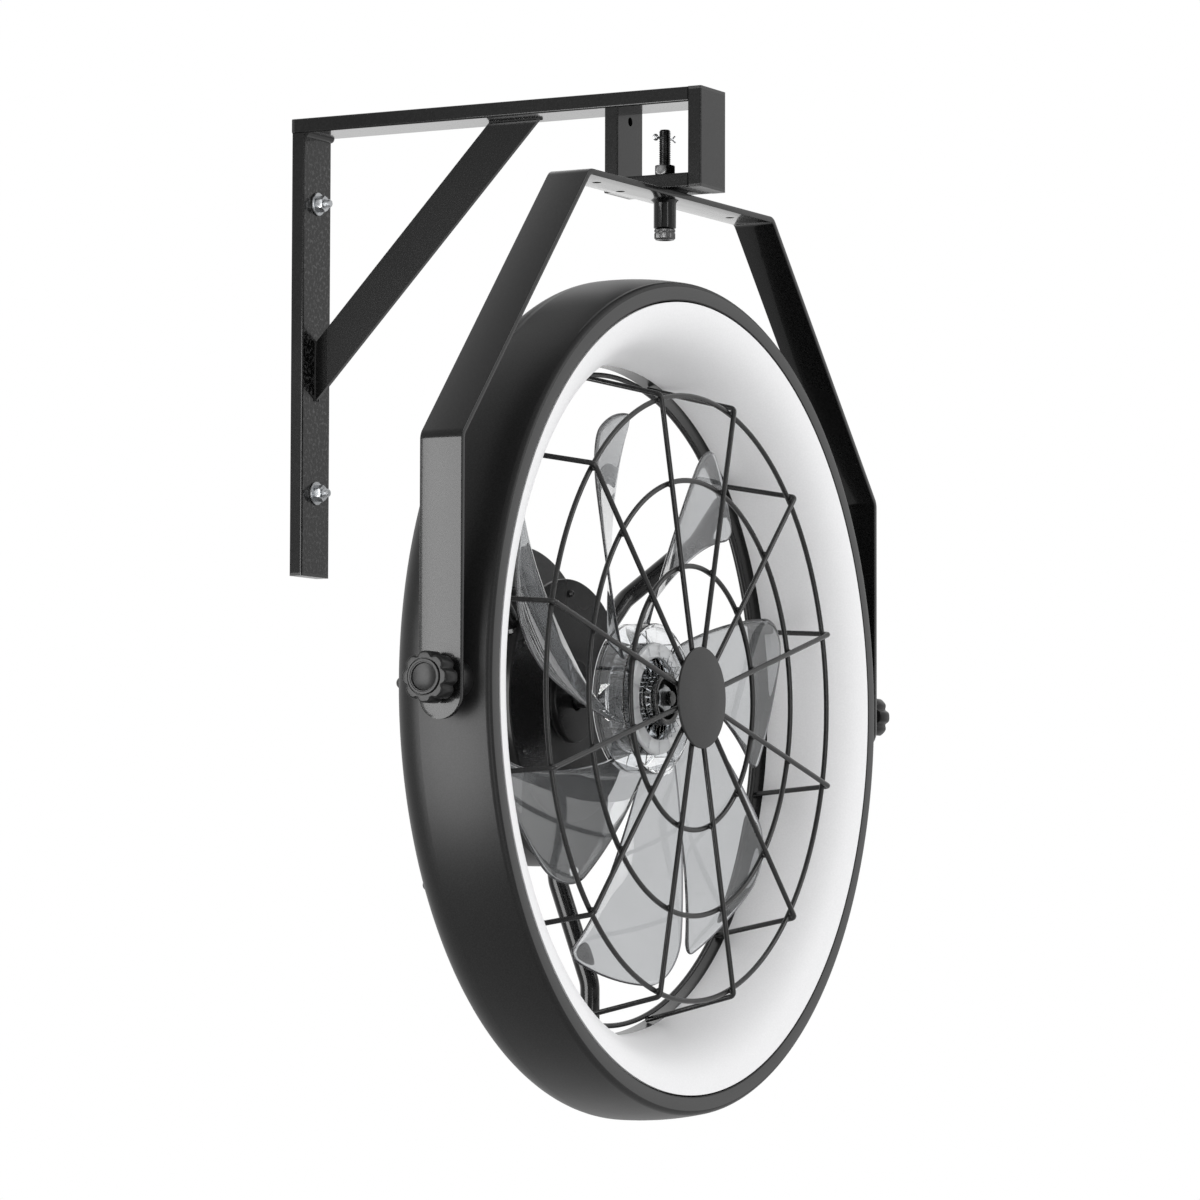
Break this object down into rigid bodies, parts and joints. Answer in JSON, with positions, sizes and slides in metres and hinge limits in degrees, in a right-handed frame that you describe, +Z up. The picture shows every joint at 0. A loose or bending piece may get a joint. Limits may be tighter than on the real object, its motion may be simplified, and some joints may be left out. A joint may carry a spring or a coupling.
{
  "type": "wall mounted fan",
  "caption": "Round fan in a black ring housing with a white bell mouth and wire guard, hung in a tilting yoke from a triangular wall bracket.",
  "frame": {"origin": "midway between the two wall fixing holes, on the back face of the wall post", "axes": "+Z up, +Y into the wall, the arm and the fan's front point to -Y, +X to the viewer's right seen from the front"},
  "size_m": [0.6298, 0.317, 0.682],
  "materials": {
    "black_paint": "satin",
    "black_shell": "satin",
    "black_plastic": "satin",
    "black_wire": "satin",
    "white_plastic": "satin",
    "clear_plastic": "glossy",
    "zinc_steel": "satin",
    "dark_steel": "satin",
    "core_steel": "satin",
    "copper_wire": "satin",
    "rubber": "matte"
  },
  "bodies": {
    "bracket": {"wall_post": "black_paint", "arm_tube": "black_paint", "inner_strut": "black_paint", "bottom_bar": "black_paint", "end_bar": "black_paint", "brace": "black_paint", "tube_plugs": "black_plastic", "swivel_bolt": "dark_steel", "swivel_washer": "dark_steel", "friction_disc": "rubber", "swivel_nut": "dark_steel", "cotter_pin": "zinc_steel"},
    "yoke": {"yoke": "black_paint", "swivel_sleeve": "black_paint"},
    "head": {"housing_shell": "black_shell", "back_plate": "black_shell", "bell_mouth": "white_plastic", "pivot_bosses": "black_plastic", "housing_screws": "dark_steel", "guard_spokes": "black_wire", "guard_rings": "black_wire", "guard_rear_ring": "black_wire", "guard_disc": "black_shell", "support_arms": "black_shell", "motor_front_cover": "black_plastic", "motor_drum": "black_shell", "motor_rear_cover": "black_plastic", "stator_core": "core_steel", "stator_coils": "copper_wire", "front_bearing": "zinc_steel", "rear_bearing": "zinc_steel", "driver_box": "black_plastic", "cable_gland": "black_plastic", "motor_screws": "dark_steel"},
    "rotor": {"motor_shaft": "zinc_steel", "rotor_core": "core_steel", "hub": "clear_plastic", "hub_core": "dark_steel", "hub_nut": "zinc_steel", "fan_blades": "clear_plastic"},
    "knob_left": {"knob_left": "black_plastic", "knob_left_stud": "zinc_steel"},
    "knob_right": {"knob_right": "black_plastic", "knob_right_stud": "zinc_steel"}
  },
  "joints": [
    {"name": "yoke_swivel", "type": "hinge", "parent": "bracket", "child": "yoke", "pos_m": [0, -0.28075, 0.0872], "axis": [0, 0, 1], "range_deg": [-55, 55]},
    {"name": "fan_tilt", "type": "hinge", "parent": "yoke", "child": "head", "pos_m": [0, -0.28075, -0.2465], "axis": [1, 0, 0], "range_deg": [-90, 90]},
    {"name": "rotor_spin", "type": "hinge", "parent": "head", "child": "rotor", "pos_m": [0, -0.26, -0.2465], "axis": [0, 1, 0], "continuous": true},
    {"name": "knob_left_turn", "type": "hinge", "parent": "head", "child": "knob_left", "pos_m": [-0.305, -0.28075, -0.2465], "axis": [-1, 0, 0], "range_deg": [0, 360]},
    {"name": "knob_right_turn", "type": "hinge", "parent": "head", "child": "knob_right", "pos_m": [0.305, -0.28075, -0.2465], "axis": [1, 0, 0], "range_deg": [0, 360]}
  ]
}
